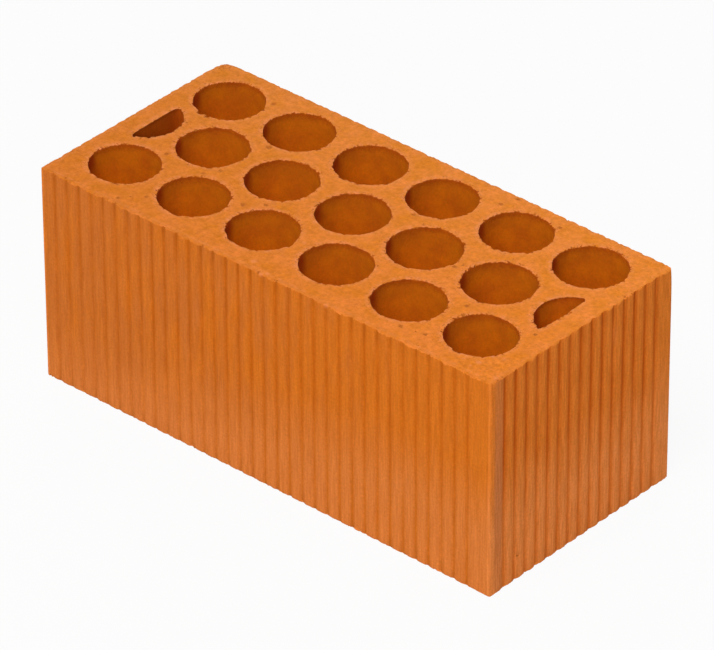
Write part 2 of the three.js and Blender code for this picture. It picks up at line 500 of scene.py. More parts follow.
def wall_tree():
    """A closed prism over a profile drawn round its middle, a little longer than the brick.

    At both cut faces it flares by the arris: outwards where Grow is 1, for a hole, and inwards
    where it is -1, for the outside.
    """
    tree, i = new_tree("Wall through the brick", [
        ("Profile", "Geometry"), ("Height", "Float"), ("Arris", "Float"), ("Grow", "Float"),
        ("Levels", "Int"),
    ])
    position = add(tree, "GeometryNodeInputPosition")
    tangent = add(tree, "GeometryNodeInputTangent")
    swept = add(tree, SEPARATE, add(tree, VECTOR_MATH, position, tangent,
                                    operation="CROSS_PRODUCT"), out=2)
    turn = add(tree, MATH, add(tree, "GeometryNodeAttributeStatistic", i["Profile"], None, swept),
               operation="SIGN")
    outward = add(tree, VECTOR_MATH, tangent, (0, 0, 1), operation="CROSS_PRODUCT")
    outward = add(tree, VECTOR_MATH, outward, turn, operation="SCALE")
    profile = add(tree, STORE, i["Profile"], None, "outward", outward, data_type="FLOAT_VECTOR")

    path = add(tree, "GeometryNodeCurvePrimitiveLine", None, add(tree, COMBINE, 0, 0, i["Height"]))
    path = add(tree, "GeometryNodeResampleCurve", path, None, i["Levels"])
    index = add(tree, "GeometryNodeInputIndex")
    last = add(tree, MATH, i["Levels"], 1, operation="SUBTRACT")
    half_count = add(tree, MATH, last, 0.5, operation="MULTIPLY")
    side = add(tree, MATH, add(tree, MATH, index, half_count, operation="SUBTRACT"),
               operation="SIGN")
    from_end = add(tree, MATH, index, add(tree, MATH, last, index, operation="SUBTRACT"),
                   operation="MINIMUM")
    inner = add(tree, MATH, add(tree, MATH, from_end, 1, operation="SUBTRACT"),
                add(tree, MATH, half_count, 1, operation="SUBTRACT"), operation="DIVIDE")
    eased = add(tree, MATH, add(tree, MATH, inner, 0, operation="MAXIMUM"), LEVEL_CROWDING,
                operation="POWER")
    half = add(tree, MATH, i["Height"], 0.5, operation="MULTIPLY")
    beyond = add(tree, MATH, add(tree, MATH, from_end, 0.5, operation="LESS_THAN"), OVERRUN,
                 CUT_CLEARANCE, operation="MULTIPLY_ADD")
    depth = add(tree, MATH, add(tree, MATH, eased, half, operation="MULTIPLY"), beyond,
                operation="SUBTRACT")
    level = add(tree, MATH, side, add(tree, MATH, half, depth, operation="SUBTRACT"), half,
                operation="MULTIPLY_ADD")
    path = add(tree, SET_POSITION, path, None, add(tree, COMBINE, 0, 0, level))

    wall = add(tree, "GeometryNodeCurveToMesh", path, profile, named={"Fill Caps": True})
    z = add(tree, SEPARATE, position, out=2)
    above = add(tree, MAP_RANGE, from_nearer_cut(tree, z, i["Height"]), 0, i["Arris"], 1, 0)
    round_off = add(tree, MATH, add(tree, MATH, above, above, operation="MULTIPLY"), -1, 1,
                    operation="MULTIPLY_ADD")
    flare = add(tree, MATH, 1, add(tree, MATH, round_off, operation="SQRT"), operation="SUBTRACT")
    flare = add(tree, MATH, add(tree, MATH, flare, i["Arris"], operation="MULTIPLY"), i["Grow"],
                operation="MULTIPLY")
    outward = add(tree, NAMED, "outward", data_type="FLOAT_VECTOR")
    wall = add(tree, SET_POSITION, wall, None, None,
               add(tree, VECTOR_MATH, outward, flare, operation="SCALE"))
    return close_tree(tree, wall)


SECTION_INPUTS = [("Length", "Float"), ("Width", "Float"), ("Corner radius", "Float"),
                  ("Far header depth", "Float"),
                  *[(f"{face} {size}", kind) for face in ("Stretcher", "Header")
                    for size, kind in COMB_INPUTS]]


def section_tree(comb):
    """The closed outline of the section: two stretcher and two header sides, head to tail."""
    tree, i = new_tree("Outline of the section", SECTION_INPUTS)
    half_length = add(tree, MATH, i["Length"], -0.5, operation="MULTIPLY")
    half_width = add(tree, MATH, i["Width"], -0.5, operation="MULTIPLY")
    stretcher = ("Stretcher", i["Length"], half_length, half_width, i["Stretcher depth"])
    header = ("Header", i["Width"], half_width, half_length)
    sides = []
    for quarter, (face, length, start, out, depth) in enumerate((
            stretcher, (*header, i["Header depth"]), stretcher,
            (*header, i["Far header depth"]))):
        comb_sizes = {size: i[f"{face} {size}"] for size, kind in COMB_INPUTS} | {"depth": depth}
        side = add(tree, GROUP, length, i["Corner radius"], *comb_sizes.values(), node_tree=comb)
        side = add(tree, TRANSFORM, side, add(tree, COMBINE, start, out))
        sides.append(add(tree, TRANSFORM, side, None, Euler((0, 0, quarter * math.pi / 2))))
    outline = add(tree, MERGE, add(tree, JOIN, sides), None, WELD)
    return close_tree(tree, add(tree, "GeometryNodeMeshToCurve", outline))


CORE_INPUTS = [
    ("Length", "Float"), ("Height", "Float"), ("Hole radius", "Float"), ("Part hole x", "Float"),
    ("Part hole wall", "Float"), ("Part hole corner", "Float"), ("Part hole shift", "Vector"),
    ("Hole arris", "Float"), ("Out of round", "Float"), ("Seed", "Int"),
]


def cores_tree(wall):
    """What the die's cores leave open: a wall round each hole centre, and the two part holes."""
    tree, i = new_tree("Cores of the die", [("Centres", "Geometry"), *CORE_INPUTS])
    circle = add(tree, "GeometryNodeCurvePrimitiveCircle", HOLE_FACETS, i["Hole radius"])
    hole = add(tree, GROUP, circle, i["Height"], i["Hole arris"], 1, HOLE_LEVELS, node_tree=wall)
    least = add(tree, MATH, 1, i["Out of round"], operation="SUBTRACT")
    most = add(tree, MATH, 1, i["Out of round"], operation="ADD")
    size = add(tree, RANDOM, add(tree, COMBINE, least, least, 1),
               add(tree, COMBINE, most, most, 1), None, i["Seed"], data_type="FLOAT_VECTOR")
    size = add(tree, VECTOR_MATH, size, add(tree, NAMED, "stretch", data_type="FLOAT_VECTOR"),
               operation="MULTIPLY")
    points = add(tree, "GeometryNodeMeshToPoints", i["Centres"])
    holes = add(tree, INSTANCES, points, None, hole, named={"Scale": size})
    cores = [add(tree, REALIZE, holes)]

    # a part hole is drawn from a point inside it, as far as the circle or the flat lets it reach
    circle = add(tree, "GeometryNodeCurvePrimitiveCircle", PART_HOLE_FACETS, i["Hole radius"])
    bearing = add(tree, VECTOR_MATH, add(tree, "GeometryNodeInputPosition"),
                  operation="NORMALIZE")
    east = add(tree, SEPARATE, bearing)
    reach = add(tree, MATH, i["Length"], 0.5, operation="MULTIPLY")
    reach = add(tree, MATH, reach, i["Part hole wall"], operation="SUBTRACT")
    flat = add(tree, MATH, reach, i["Part hole x"], operation="SUBTRACT")
    inside = add(tree, MATH, add(tree, MATH, flat, i["Hole radius"], operation="SUBTRACT"), 0.5,
                 operation="MULTIPLY")
    along = add(tree, MATH, east, inside, operation="MULTIPLY")
    north = add(tree, MATH, add(tree, SEPARATE, bearing, out=1), inside, operation="MULTIPLY")
    square = add(tree, MATH, add(tree, MATH, i["Hole radius"], 2, operation="POWER"),
                 add(tree, MATH, north, 2, operation="POWER"), operation="SUBTRACT")
    to_circle = add(tree, MATH, add(tree, MATH, square, operation="SQRT"), along,
                    operation="SUBTRACT")
    to_flat = add(tree, MATH, add(tree, MATH, flat, inside, operation="SUBTRACT"),
                  add(tree, MATH, east, MM, operation="MAXIMUM"), operation="DIVIDE")
    far = add(tree, MATH, to_circle, to_flat, i["Part hole corner"], operation="SMOOTH_MIN")
    place = add(tree, VECTOR_MATH, add(tree, VECTOR_MATH, bearing, far, operation="SCALE"),
                add(tree, COMBINE, add(tree, MATH, inside, i["Part hole x"])))
    profile = add(tree, SET_POSITION, circle, None, place)
    part = add(tree, GROUP, profile, i["Height"], i["Hole arris"], 1, HOLE_LEVELS, node_tree=wall)
    for turn in (0, math.pi):
        cores.append(add(tree, TRANSFORM, part, i["Part hole shift"], Euler((0, 0, turn))))
    return close_tree(tree, add(tree, JOIN, cores))


def chip_tree():
    """One crumb's worth of clay, a lump of about unit radius."""
    tree, i = new_tree("Chip", [("Roughness", "Float")])
    ball = add(tree, "GeometryNodeMeshIcoSphere", 1.0, CHIP_SUBDIVISIONS)
    position = add(tree, "GeometryNodeInputPosition")
    lumpy = add(tree, MAP_RANGE, add(tree, NOISE, position, LUMPS_ROUND_A_CHIP), *LUMPS)
    lumpy = add(tree, MIX, i["Roughness"], 1.0, lumpy)
    lump = add(tree, SET_POSITION, ball, None,
               add(tree, VECTOR_MATH, position, lumpy, operation="SCALE"))
    return close_tree(tree, add(tree, STORE, lump, None, "broken", 1.0))


def broken_out(tree, i, solid, marks, chip, at_cut, at_wall):
    """Lumps to take away: chips along the rims and arrises, pores in the cut faces, and pits."""
    turn = add(tree, RANDOM, None, (math.tau, math.tau, math.tau), None, i["Seed"],
               data_type="FLOAT_VECTOR")
    lumps = []
    for zone, share, largest, depth in (
            (at_wall, i["Chip share"], i["Chip size"], CHIP_DEPTH),
            (add(tree, MATH, 1, at_wall, operation="SUBTRACT"), i["Pore share"],
             i["Pore size"], PORE_DEPTH)):
        chosen = add(tree, RANDOM, share, None, i["Seed"], data_type="BOOLEAN")
        chosen = add(tree, MATH, add(tree, MATH, zone, at_cut, operation="MULTIPLY"), chosen,
                     operation="MULTIPLY")
        spots = add(tree, "GeometryNodeMeshToPoints", solid, chosen)
        radius = add(tree, MATH, add(tree, RANDOM, SMALLEST_CHIP, 1.0, None, i["Seed"]),
                     CHIP_RARITY, operation="POWER")
        radius = add(tree, MATH, radius, largest, operation="MULTIPLY")
        size = add(tree, COMBINE, radius, radius, add(tree, MATH, radius, depth,
                                                      operation="MULTIPLY"))
        lumps.append(add(tree, INSTANCES, spots, None, chip, named={
            "Rotation": turn, "Scale": size}))
    size, depth, tone = (add(tree, NAMED, name) for name in
                         ("mark_size", "mark_depth", "mark_tone"))
    spots = add(tree, "GeometryNodeMeshToPoints", marks,
                add(tree, MATH, tone, 0, operation="LESS_THAN"))
    lumps.append(add(tree, INSTANCES, spots, None, chip, named={
        "Scale": add(tree, COMBINE, size, size, depth)}))
    return lumps


def crumbling(tree, i, position, from_cut, upward, to_core, to_outside, out_of_core):
    """How crumbled arrises move into the clay, away from the faces that a point is near."""
    crumble = patches(tree, position, CRUMBLE_SIZE, CRUMBLES, detail=3, roughness=0.55)
    crumble = add(tree, MATH, crumble, i["Raggedness"], operation="MULTIPLY")
    crumble = add(tree, MATH, crumble, add(tree, MAP_RANGE, to_outside, *CRUMBLE_AT_SIDES),
                  operation="MULTIPLY")
    at_core = add(tree, VECTOR_MATH, out_of_core, add(tree, COMBINE, 0, 0, upward),
                  operation="SUBTRACT")
    at_core = add(tree, VECTOR_MATH, at_core, fading(tree, to_core, CRUMBLE_REACH),
                  operation="SCALE")
    sides = []
    for axis, extent in ((0, i["Length"]), (1, i["Width"])):
        along = add(tree, SEPARATE, position, out=axis)
        beyond = add(tree, MATH, extent, -0.5, add(tree, MATH, along, operation="ABSOLUTE"),
                     operation="MULTIPLY_ADD")
        near = fading(tree, beyond, -CRUMBLE_REACH)     # beyond is below 0 inside the brick
        sign = add(tree, MATH, along, operation="SIGN")
        sides.append((near, add(tree, MATH, near, sign, operation="MULTIPLY")))
    (near_x, out_x), (near_y, out_y) = sides
    out_z = add(tree, MATH, add(tree, MATH, near_x, near_y), upward, operation="MULTIPLY")
    crumbled = add(tree, VECTOR_MATH, at_core, add(tree, COMBINE, out_x, out_y, out_z),
                   operation="SUBTRACT")
    near_cut = fading(tree, from_cut, CRUMBLE_REACH)
    return add(tree, VECTOR_MATH, crumbled,
               add(tree, MATH, crumble, near_cut, operation="MULTIPLY"), operation="SCALE")


def knocks(tree, i, position, moved):
    """The move that it is given, and the upper corners knocked blunt."""
    for corner, knock in KNOCKED_CORNERS:
        tip = add(tree, VECTOR_MATH, add(tree, COMBINE, i["Length"], i["Width"], i["Height"]),
                  corner, operation="MULTIPLY")
        away = add(tree, VECTOR_MATH, position, tip, operation="DISTANCE", out=0)
        inwards = (-corner[0] * 2 * knock, -corner[1] * 2 * knock, -KNOCK_DROP * knock)
        moved = add(tree, VECTOR_MATH, moved, add(
            tree, VECTOR_MATH, inwards, fading(tree, away, KNOCK_REACH), operation="SCALE"))
    return moved


def swelling(tree, i, position, to_core, out_of_core):
    """How holes get a little out of true, where the clay swelled and shrank round the cores."""
    swell = add(tree, NOISE, drawn_out(tree, position, SWELL_STRETCH), 1 / SWELL_SIZE, 1, 0.5)
    swell = add(tree, MATH, swell, 0.5, operation="SUBTRACT")
    swell = add(tree, MATH, swell, fading(tree, to_core, SWELL_REACH), operation="MULTIPLY")
    return add(tree, VECTOR_MATH, out_of_core, add(
        tree, MATH, swell, i["Waviness"], operation="MULTIPLY"), operation="SCALE")


def relief_inward(tree, i, position, from_cut):
    """Grain torn by the wire on the cut faces, and the die's drag lines on the walls."""
    grain = patches(tree, position, GRAIN_SIZE, (*GRAIN, 0, i["Grain"]), detail=3,
                    roughness=0.65)
    drag = add(tree, NOISE, drawn_out(tree, position, DRAG_STRETCH), 1 / DRAG_SPACING, 2, 0.6)
    drag = add(tree, MATH, drag, i["Drag relief"], operation="MULTIPLY")
    relief = add(tree, MIX, add(tree, MAP_RANGE, from_cut, *ON_CUT), drag, grain)
    return add(tree, VECTOR_MATH, add(tree, "GeometryNodeInputNormal"),
               add(tree, MATH, relief, -1, operation="MULTIPLY"), operation="SCALE")


def mark_tone(tree, marks, position):
    """The tone of the nearest mark, which fades out to its edge."""
    nearest = add(tree, "GeometryNodeSampleNearest", marks)
    size, tone = (add(tree, SAMPLE_INDEX, marks, add(tree, NAMED, name), nearest)
                  for name in ("mark_size", "mark_tone"))
    centre = add(tree, SAMPLE_INDEX, marks, position, nearest, data_type="FLOAT_VECTOR")
    away = add(tree, VECTOR_MATH, position, centre, operation="DISTANCE")
    faded = add(tree, MAP_RANGE, add(tree, MATH, away, size, operation="DIVIDE"), *MARK_EDGE)
    return add(tree, MATH, faded, tone, operation="MULTIPLY")


def kept_inside(tree, i, place):
    """A place held inside the brick's own box."""
    most = add(tree, VECTOR_MATH, add(tree, COMBINE, i["Length"], i["Width"], i["Height"]),
               (0.5, 0.5, 1), operation="MULTIPLY")
    least = add(tree, VECTOR_MATH, most, (-1, -1, 0), operation="MULTIPLY")
    place = add(tree, VECTOR_MATH, place, most, operation="MINIMUM")
    return add(tree, VECTOR_MATH, place, least, operation="MAXIMUM")


def brick_tree(sizes):
    """The whole brick: the combed outside less the cores, roughened by wire, die and handling.

    Its Points are the centres of the round holes, and the pits and crumbs, which have a
    mark_size.
    """
    wall = wall_tree()
    section, cores, chip = section_tree(comb_side_tree()), cores_tree(wall), chip_tree()
    tree, i = new_tree("Perforated clay brick", [
        ("Points", "Geometry"), *[(size.name, "Vector" if size.is_array else size.type.title())
                                  for size in sizes], ("Material", "Material")])
    marks = add(tree, "GeometryNodeSeparateGeometry", i["Points"], add(tree, NAMED, "mark_size"))
    centres = marks.node.outputs["Inverted"]
    outline = add(tree, GROUP, *[i[name] for name, kind in SECTION_INPUTS], node_tree=section)
    outside = add(tree, GROUP, outline, i["Height"], i["Outer arris"], -1, OUTER_LEVELS,
                  node_tree=wall)
    cores = add(tree, GROUP, centres, *[i[name] for name, kind in CORE_INPUTS], node_tree=cores)
    chip = add(tree, GROUP, i["Chip roughness"], node_tree=chip)

    # a block whose gridded upper and lower faces become the cut faces
    block_length = add(tree, MATH, i["Length"], 2 * OVERRUN, operation="ADD")
    block_width = add(tree, MATH, i["Width"], 2 * OVERRUN, operation="ADD")
    block = add(tree, "GeometryNodeMeshCube",
                add(tree, COMBINE, block_length, block_width, i["Height"]),
                add(tree, MATH, block_length, i["Cell"], operation="DIVIDE"),
                add(tree, MATH, block_width, i["Cell"], operation="DIVIDE"), 2)
    half_height = add(tree, MATH, i["Height"], 0.5, operation="MULTIPLY")
    block = add(tree, TRANSFORM, block, add(tree, COMBINE, 0, 0, half_height))
    solid = add(tree, BOOLEAN, [block, outside], operation="INTERSECT", solver="MANIFOLD")
    solid = add(tree, BOOLEAN, solid, cores, operation="DIFFERENCE", solver="MANIFOLD")

    # how far a point lies from the cut faces, from the nearest core wall and from the outside
    position = add(tree, "GeometryNodeInputPosition")
    x, y, z = (add(tree, SEPARATE, position, out=axis) for axis in range(3))
    from_cut = from_nearer_cut(tree, z, i["Height"])
    level = add(tree, COMBINE, x, y, half_height)
    to_core = add(tree, PROXIMITY, cores, named={"Sample Position": level}, out=1)
    to_outside = add(tree, PROXIMITY, outside, named={"Sample Position": level}, out=1)
    to_wall = add(tree, MATH, to_core, to_outside, operation="MINIMUM")
    on_outside = add(tree, MAP_RANGE, to_outside, *ON_OUTSIDE)
    out_of_core = add(tree, SAMPLE_SURFACE, cores, add(tree, "GeometryNodeInputNormal"),
                      named={"Sample Position": level}, data_type="FLOAT_VECTOR")
    groove = add(tree, SAMPLE_SURFACE, outside, add(tree, NAMED, "groove"),
                 named={"Sample Position": level})
    upward = add(tree, MATH, add(tree, MATH, z, half_height, operation="SUBTRACT"),
                 operation="SIGN")

    at_cut = add(tree, MATH, from_cut, AT_FACE, operation="LESS_THAN")
    at_wall = add(tree, MATH, to_wall, AT_WALL, operation="LESS_THAN")
    lumps = broken_out(tree, i, solid, marks, chip, at_cut, at_wall)
    solid = add(tree, BOOLEAN, solid, lumps, operation="DIFFERENCE", solver="MANIFOLD")
    for name, value in (
        ("groove", add(tree, MATH, groove, on_outside, operation="MULTIPLY")),
        ("core", add(tree, MATH, 1, on_outside, operation="SUBTRACT")),
        ("rim", add(tree, MATH, add(tree, MATH, from_cut, to_wall), MM, operation="DIVIDE")),
        ("mark", mark_tone(tree, marks, position)),
        ("lee", add(tree, VECTOR_MATH, out_of_core, SHADED_SIDE, operation="DOT_PRODUCT")),
    ):
        solid = add(tree, STORE, solid, None, name, value)

    crumbled = crumbling(tree, i, position, from_cut, upward, to_core, to_outside, out_of_core)
    crumbled = knocks(tree, i, position, crumbled)
    moved = add(tree, VECTOR_MATH, relief_inward(tree, i, position, from_cut), crumbled)
    moved = add(tree, VECTOR_MATH, moved, swelling(tree, i, position, to_core, out_of_core))
    moved = kept_inside(tree, i, add(tree, VECTOR_MATH, position, moved))
    solid = add(tree, SET_POSITION, solid, None, moved)
    solid = add(tree, MERGE, solid, None, WELD)
    solid = add(tree, "GeometryNodeRemoveAttribute", solid, "outward")
    for domain in ("EDGE", "FACE"):
        solid = add(tree, "GeometryNodeSetShadeSmooth", solid, domain=domain)
    solid = add(tree, "GeometryNodeTriangulate", solid)
    solid = add(tree, REALIZE, solid)
    return close_tree(tree, add(tree, "GeometryNodeSetMaterial", solid, None, i["Material"]))


# --- fired clay ------------------------------------------------------------------------------

# The torn grain is drawn at 2 mm and the drag lines at 0.8 mm, coarser than the sand and the
# scratches of real clay, so that they still show at arm's length.
TORN_GRAIN = 2 * MM
DRAG_LINE = 0.8 * MM
DRAG_LINE_STRETCH = 0.07
SPECKLE = 1.1 * MM
SPECKLES = (0.3, 0.7, 0.9, 1.1)
PIT_TINT = -0.5                 # how much of a mark's tone shows, as a pit or as a crumb
CRUMB_TINT = 0.8

RAGGED_LINE = 0.5 * MM          # how far the torn clay of the cut faces reaches over an edge
RAGGED_SIZE = 0.9 * MM
RAGGED = (0.4, 0.65)
TEAR_SIZE = 6 * MM
TEARS = (0.5, 0.7)
CUT_BLUR = 0.25 * MM


def cut_share(tree, spot, core):
    """1 on the cut faces, which end in a ragged line a little way over the rims and arrises."""
    z = add(tree, SEPARATE, spot, out=2)
    ragged = patches(tree, spot, RAGGED_SIZE, (*RAGGED, 0, RAGGED_LINE))
    tears = patches(tree, spot, TEAR_SIZE, (*TEARS, 0, 2 * RAGGED_LINE))
    outer = add(tree, MATH, 1, core, operation="SUBTRACT")
    ragged = add(tree, MATH, tears, outer, ragged, operation="MULTIPLY_ADD")
    from_edge = add(tree, MATH, from_nearer_cut(tree, z, HEIGHT), ragged, operation="SUBTRACT")
    return add(tree, MAP_RANGE, from_edge, 0, CUT_BLUR, 1, 0)


PALE_LINE = 33 * MM             # height of the slanting line below which the sides are paler
PALE_LINE_SLOPE = 0.19
PALE_LINE_LEVEL = 60 * MM       # how far along X the line stops climbing
PALE_LINE_BLUR = 15 * MM
PALE_LINE_TINT = 0.8            # how much of the paler skin shows on the long faces' lands
DRIFT_SIZE = 9 * MM             # patches that bend the pale line and where the lands are rubbed
DRIFT_STRETCH = 0.2
RUBBED = (0.42, 0.66, 0, 1)
RUBBED_FALL = -1.6              # how much rarer rubbed patches get for each metre along X
ON_END_FACE = (LENGTH / 2 - 1.6 * MM, LENGTH / 2 - 1.2 * MM, 0, 1)
WEAR_SIZE = 5 * MM              # how the grooves' deeper orange comes and goes
WEAR_STRETCH = 0.1
WEAR = (0.35, 0.6, 0.65, 1.15)
FAINT_CORNER = (-60 * MM, 60 * MM, 0.55, 1)     # by x + 2 z, low at the left
SMEAR_FROM_CORNER = 5 * MM
SMEAR_ACROSS = (1.5 * MM, 3.2 * MM, 1, 0)
SMEAR_MIDDLE = 50 * MM          # height at which the smear is strongest
SMEAR_ALONG = (0, 60 * MM, 1, 0.3)
STREAK_GAIN = 2.5               # contrast of the drag lines, which the end faces raise by 1
STREAK_TINTS = (0.91, 0.87, 0.78, 1), (1.07, 1.11, 1.22, 1)
NOTCH_SHADE = (1, 8, -0.12, 0)  # by mm from the rim: painted shade darkens the tops of the grooves


def skin_colour(tree, colour, spot, groove, rim, streak, speckles):
    """The sides: streaked along the die, rubbed in patches, paler below a slanting line, and with
    painted shade in the grooves and at their tops.
    """
    x, y, z = (add(tree, SEPARATE, spot, out=axis) for axis in range(3))
    drift = add(tree, NOISE, drawn_out(tree, spot, DRIFT_STRETCH), 1 / DRIFT_SIZE, 3, 0.6)
    rubbed = add(tree, MATH, x, RUBBED_FALL, drift, operation="MULTIPLY_ADD")
    rubbed = add(tree, MAP_RANGE, rubbed, *RUBBED)
    header = add(tree, MAP_RANGE, add(tree, MATH, x, operation="ABSOLUTE"), *ON_END_FACE)
    height = add(tree, MATH, add(tree, MATH, x, PALE_LINE_LEVEL, operation="MINIMUM"),
                 -PALE_LINE_SLOPE, z, operation="MULTIPLY_ADD")
    height = swing(tree, drift, 2 * PALE_LINE_BLUR, height)
    pale = add(tree, MAP_RANGE, height, PALE_LINE - PALE_LINE_BLUR, PALE_LINE + PALE_LINE_BLUR,
               1, 0)
    land = add(tree, MIX, rubbed, colour["skin"], colour["skin_pink"], data_type="RGBA")
    land = add(tree, MIX, add(tree, MATH, pale, PALE_LINE_TINT, operation="MULTIPLY"), land,
               colour["skin_pale"], data_type="RGBA")
    end_land = add(tree, MIX, pale, colour["end_land"], colour["end_pale"], data_type="RGBA")
    land = add(tree, MIX, header, land, end_land, data_type="RGBA")

    # the grooves keep a deeper orange, partly their own colour and partly painted shade, worn in
    # places and fainter at the low left
    end_tint = add(tree, MIX, pale, colour["end_groove"], colour["end_groove_pale"],
                   data_type="RGBA")
    tint = add(tree, MIX, header, colour["groove"], end_tint, data_type="RGBA")
    worn = patches(tree, drawn_out(tree, spot, WEAR_STRETCH), WEAR_SIZE, WEAR)
    faint = add(tree, MATH, z, 2, x, operation="MULTIPLY_ADD")
    worn = add(tree, MATH, worn, add(tree, MAP_RANGE, faint, *FAINT_CORNER),
               operation="MULTIPLY")
    worn = add(tree, MATH, groove, worn, operation="MULTIPLY", use_clamp=True)
    skin = tinted(tree, land, worn, WHITE, tint)

    # a grey smear on the first land of the end face, beside the front corner
    across = add(tree, MATH, y, WIDTH / 2 - SMEAR_FROM_CORNER, operation="ADD")
    across = add(tree, MAP_RANGE, add(tree, MATH, across, operation="ABSOLUTE"), *SMEAR_ACROSS)
    along = add(tree, MATH, z, SMEAR_MIDDLE, operation="SUBTRACT")
    along = add(tree, MAP_RANGE, add(tree, MATH, along, operation="ABSOLUTE"), *SMEAR_ALONG)
    right_end = add(tree, MATH, header, add(tree, MATH, x, 0, operation="GREATER_THAN"),
                    operation="MULTIPLY")
    smear = add(tree, MATH, add(tree, MATH, across, along, operation="MULTIPLY"), right_end,
                operation="MULTIPLY")
    skin = add(tree, MIX, smear, skin, colour["smear"], data_type="RGBA")

    gain = add(tree, MATH, header, 1, STREAK_GAIN, operation="MULTIPLY_ADD")
    skin = tinted(tree, skin, swing(tree, streak, gain, 0.5), *STREAK_TINTS)
    skin = add(tree, VECTOR_MATH, skin, speckles, operation="SCALE")
    notch = add(tree, MATH, add(tree, MAP_RANGE, rim, *NOTCH_SHADE), groove, 1,
                operation="MULTIPLY_ADD")
    return add(tree, VECTOR_MATH, skin, notch, operation="SCALE")


# Ramps by mm from the rim and by the lee, which is 1 on the side of each hole that faces away
# from the light and -1 on the other side of the hole. They paint shade and light on the walls.
# painted shade at the rims of the holes, and painted light deeper down
WALL_SHADE = (0, 22, 0.81, 1.34)
LEE_SHADING = (0, 10, -0.15, 0.25)
SHADOW_BY_LEE = (0.85, 0.95, 0, 0.68)
SHADOW_BY_RIM = (4, 12, 1, 0)
# painted shadow just under the rim of each hole
RIM_SHADOW = (1, 3.5, 0.38, 0)
RIM_SHADOW_WANDER = 4                    # mm that the painted shadow under the rim wanders from it
MOTTLE_SIZE = 7 * MM
MOTTLE = (0.35, 0.65, 0, 1)
# the side of each hole towards the light shows less of the darker red: painted light
MOTTLE_BY_LEE = (-1, -0.3, -0.2, 0)
PART_HOLE = (15 * MM, 17 * MM, 1, 0)
PART_HOLE_ENDS = (LENGTH / 2 - 26 * MM, LENGTH / 2 - 20 * MM)
PART_HOLE_LIGHT = 0.22          # how much painted light brightens the right part hole's flat
PART_HOLE_SHADOW = 0.4            # and how much painted shadow reddens the left one's


def core_colour(tree, colour, spot, rim, lee, speckle, speckles):
    """The walls of the holes, with painted shade towards the rim and painted light deeper down.

    A deep red painted shadow lies under the rim, on the side away from the light and on the
    left part hole's flat, and the right part hole's flat gets painted light.
    """
    x, y = (add(tree, SEPARATE, spot, out=axis) for axis in range(2))
    sheltered = add(tree, MATH, lee, 0, operation="MAXIMUM")
    burr = add(tree, MATH, add(tree, MAP_RANGE, rim, *LEE_SHADING), sheltered, 1,
               operation="MULTIPLY_ADD")
    in_part_hole = add(tree, MAP_RANGE, add(tree, MATH, y, operation="ABSOLUTE"), *PART_HOLE)
    near_end, far_end = (
        add(tree, MATH, in_part_hole, add(tree, MAP_RANGE, add(
            tree, MATH, x, side, operation="MULTIPLY"), *PART_HOLE_ENDS, 0, amount),
            operation="MULTIPLY")
        for side, amount in ((1, PART_HOLE_LIGHT), (-1, PART_HOLE_SHADOW)))
    shade = add(tree, MATH, add(tree, MAP_RANGE, rim, *WALL_SHADE), burr, operation="MULTIPLY")
    shade = add(tree, MATH, shade, near_end, shade, operation="MULTIPLY_ADD")
    mottle = add(tree, MATH, patches(tree, spot, MOTTLE_SIZE, MOTTLE, roughness=0.5),
                 add(tree, MAP_RANGE, lee, *MOTTLE_BY_LEE), operation="ADD", use_clamp=True)
    wall = add(tree, MIX, mottle, colour["core"], colour["core_red"], data_type="RGBA")
    shadowed = add(tree, MATH, add(tree, MAP_RANGE, lee, *SHADOW_BY_LEE),
                add(tree, MAP_RANGE, rim, *SHADOW_BY_RIM), operation="MULTIPLY")
    rim_shadow = add(tree, MAP_RANGE, swing(tree, speckle, RIM_SHADOW_WANDER, rim), *RIM_SHADOW)
    shadowed = add(tree, MATH, add(tree, MATH, shadowed, rim_shadow, operation="MAXIMUM"), far_end,
                operation="MAXIMUM")
    wall = add(tree, MIX, shadowed, wall, colour["burr"], data_type="RGBA")
    return add(tree, VECTOR_MATH, wall, add(tree, MATH, shade, speckles, operation="MULTIPLY"),
               operation="SCALE")


BLOTCH_SIZE = 9 * MM
BLOTCHES = (0.35, 0.65, 0, 1)
ROUGH_PATCH = (107 * MM, -46 * MM, HEIGHT)      # where the bed is torn the most
ROUGH_PATCH_EDGE = (6 * MM, 15 * MM, 1, 0)
GRAIN_GAIN = 0.9                # contrast of the torn grain, and how much the rough patch adds
ROUGH_GAIN = 0.5
GRAIN_MIDDLE = 0.47
GRAIN_TINTS = (0.75, 0.64, 0.45, 1), (1.25, 1.36, 1.55, 1)
PATCH_SIZE = 4 * MM
PATCHES = (0.35, 0.65, 0.96, 1.04)
PALER_ALONG = (-LENGTH / 2, LENGTH / 2, 0.93, 1.05)
YELLOWER_ACROSS = (-WIDTH / 2, WIDTH / 2, 0, 1)
YELLOWER_TINTS = (0.96, 0.94, 0.9, 1), (1, 1.07, 1.2, 1)
CRUMBLED_EDGE = (0.3, 2.8, 1, 0)
FRESH_SIZE = 2.5 * MM
FRESH = (0.4, 0.62, 0.05, 0.75)
FRESH_BY_LEE = (-1, 1, 0.6, 1.2)
FRESH_BY_CORE = (0, 1, 0.2, 1)


